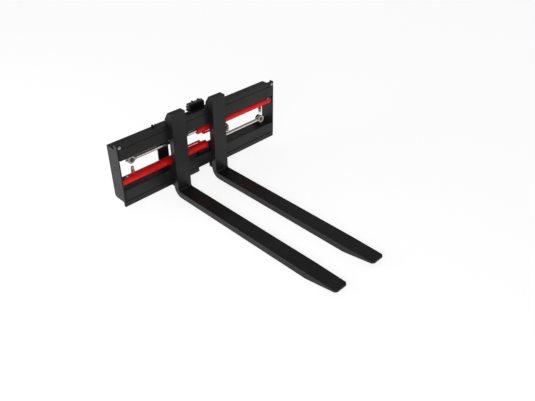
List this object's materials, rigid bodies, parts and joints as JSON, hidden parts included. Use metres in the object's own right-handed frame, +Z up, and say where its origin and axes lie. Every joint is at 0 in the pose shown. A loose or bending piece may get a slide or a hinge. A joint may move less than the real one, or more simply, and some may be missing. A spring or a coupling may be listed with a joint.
{
  "type": "pallet fork attachment",
  "caption": "Fork carriage with two hooked L-shaped forks, moved sideways by a crossed pair of hydraulic cylinders, with a rear pin-and-hook coupler.",
  "frame": {"origin": "centre of the coupler's locking pin bore, midway between the two coupler plates", "axes": "+X along the carriage towards the right-hand fork, +Y back towards the machine, +Z up"},
  "size_m": [1.22, 1.513, 0.557],
  "materials": {
    "frame_black": "satin black powder coat",
    "fork_black": "satin black paint over forged steel",
    "cylinder_red": "gloss red enamel",
    "rod_chrome": "hard chrome, ground",
    "zinc_steel": "zinc plated",
    "spring_steel": "dark phosphate",
    "bronze": "turned bronze",
    "rubber_black": "matt",
    "cap_plastic": "matt moulded"
  },
  "bodies": {
    "carriage": {"top_rail": "frame_black", "bottom_rail": "frame_black", "top_channel": "frame_black", "bottom_channel": "frame_black", "left_end_plate": "frame_black", "right_end_plate": "frame_black", "coupler_straps": "frame_black", "left_coupler_plate": "frame_black", "right_coupler_plate": "frame_black", "left_pin_bush": "zinc_steel", "right_pin_bush": "zinc_steel", "hook_bar": "frame_black", "fork_stop_bolts": "zinc_steel", "upper_rod": "rod_chrome", "upper_piston": "zinc_steel", "upper_piston_seal": "rubber_black", "upper_rod_eye": "zinc_steel", "upper_eye_bush": "bronze", "upper_anchor_lug": "frame_black", "upper_anchor_pin": "spring_steel", "upper_pin_clip": "spring_steel", "lower_rod": "rod_chrome", "lower_piston": "zinc_steel", "lower_piston_seal": "rubber_black", "lower_rod_eye": "zinc_steel", "lower_eye_bush": "bronze", "lower_anchor_lug": "frame_black", "lower_anchor_pin": "spring_steel", "lower_pin_clip": "spring_steel", "manifold_bracket": "frame_black", "manifold_block": "frame_black", "manifold_bolts": "zinc_steel", "manifold_adapters": "zinc_steel", "manifold_caps": "cap_plastic"},
    "left_fork_set": {"left_fork": "fork_black", "left_top_hook": "fork_black", "left_bottom_hook": "fork_black", "left_fork_driver": "frame_black", "left_driver_bolts": "zinc_steel", "upper_barrel": "cylinder_red", "upper_end_cap": "cylinder_red", "upper_gland": "cylinder_red", "upper_wiper_seal": "rubber_black", "upper_transfer_pipe": "cylinder_red", "upper_port_adapters": "zinc_steel", "upper_port_caps": "cap_plastic", "upper_barrel_saddle": "cylinder_red"},
    "right_fork_set": {"right_fork": "fork_black", "right_top_hook": "fork_black", "right_bottom_hook": "fork_black", "right_fork_driver": "frame_black", "right_driver_bolts": "zinc_steel", "lower_barrel": "cylinder_red", "lower_end_cap": "cylinder_red", "lower_gland": "cylinder_red", "lower_wiper_seal": "rubber_black", "lower_transfer_pipe": "cylinder_red", "lower_port_adapters": "zinc_steel", "lower_port_caps": "cap_plastic", "lower_barrel_saddle": "cylinder_red"}
  },
  "joints": [
    {"name": "left_fork_slide", "type": "slide", "parent": "carriage", "child": "left_fork_set", "axis": [-1, 0, 0], "range_m": [0, 0.32]},
    {"name": "right_fork_slide", "type": "slide", "parent": "carriage", "child": "right_fork_set", "axis": [1, 0, 0], "range_m": [0, 0.41]}
  ]
}
